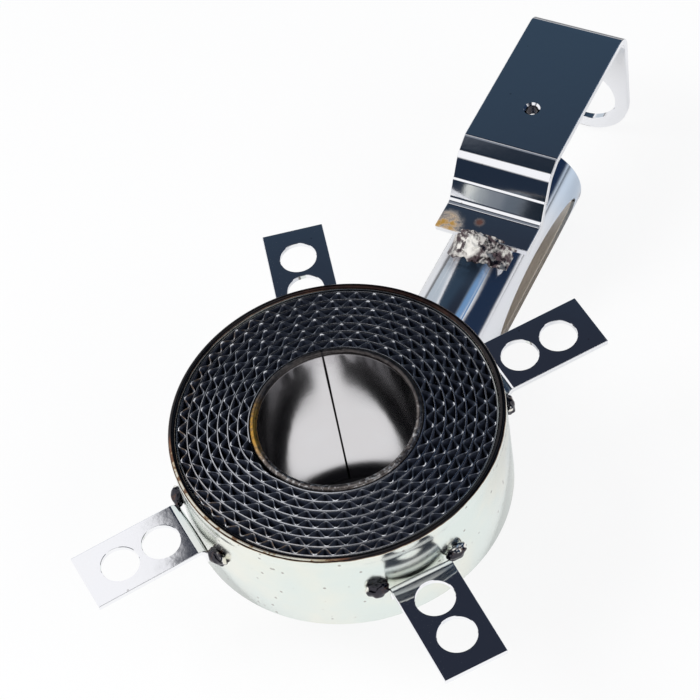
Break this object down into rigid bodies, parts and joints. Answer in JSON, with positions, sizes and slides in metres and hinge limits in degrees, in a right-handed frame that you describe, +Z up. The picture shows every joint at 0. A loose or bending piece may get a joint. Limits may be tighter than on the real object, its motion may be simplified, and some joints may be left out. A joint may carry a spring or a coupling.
{
  "type": "gas ribbon burner",
  "caption": "Round gas burner head with a wound ribbon top, a central air way, flat legs with bolt holes, and a slotted mixing tube with a stepped bracket that holds the jet.",
  "frame": {"origin": "on the burner's axis, level with the undersides of the four legs", "axes": "+Z up along the burner's axis, +X along the mixing tube towards the jet bracket"},
  "size_m": [0.2847, 0.1439, 0.0731],
  "materials": {
    "plated_sheet": "bright plated sheet",
    "bright_tube": "bright drawn tube",
    "heat_dulled_strip": "thin steel strip dulled by heat",
    "plated_strap": "plated strap with dark reflections",
    "weld_metal": "rough weld bead"
  },
  "bodies": {
    "root": {"burner_cup": "plated_sheet", "plenum_bowl": "plated_sheet", "centre_air_tube": "bright_tube", "flat_ribbon": "heat_dulled_strip", "corrugated_ribbon": "heat_dulled_strip", "ribbon_rest_outer": "plated_sheet", "ribbon_rest_inner": "plated_sheet", "mixing_tube": "bright_tube", "tube_weld": "weld_metal", "orifice_bracket": "plated_strap", "bracket_weld": "weld_metal", "leg_1": "plated_strap", "leg_1_tack_a": "weld_metal", "leg_1_tack_b": "weld_metal", "leg_2": "plated_strap", "leg_2_tack_a": "weld_metal", "leg_2_tack_b": "weld_metal", "leg_3": "plated_strap", "leg_3_tack_a": "weld_metal", "leg_3_tack_b": "weld_metal", "leg_4": "plated_strap", "leg_4_tack_a": "weld_metal", "leg_4_tack_b": "weld_metal"}
  },
  "joints": []
}
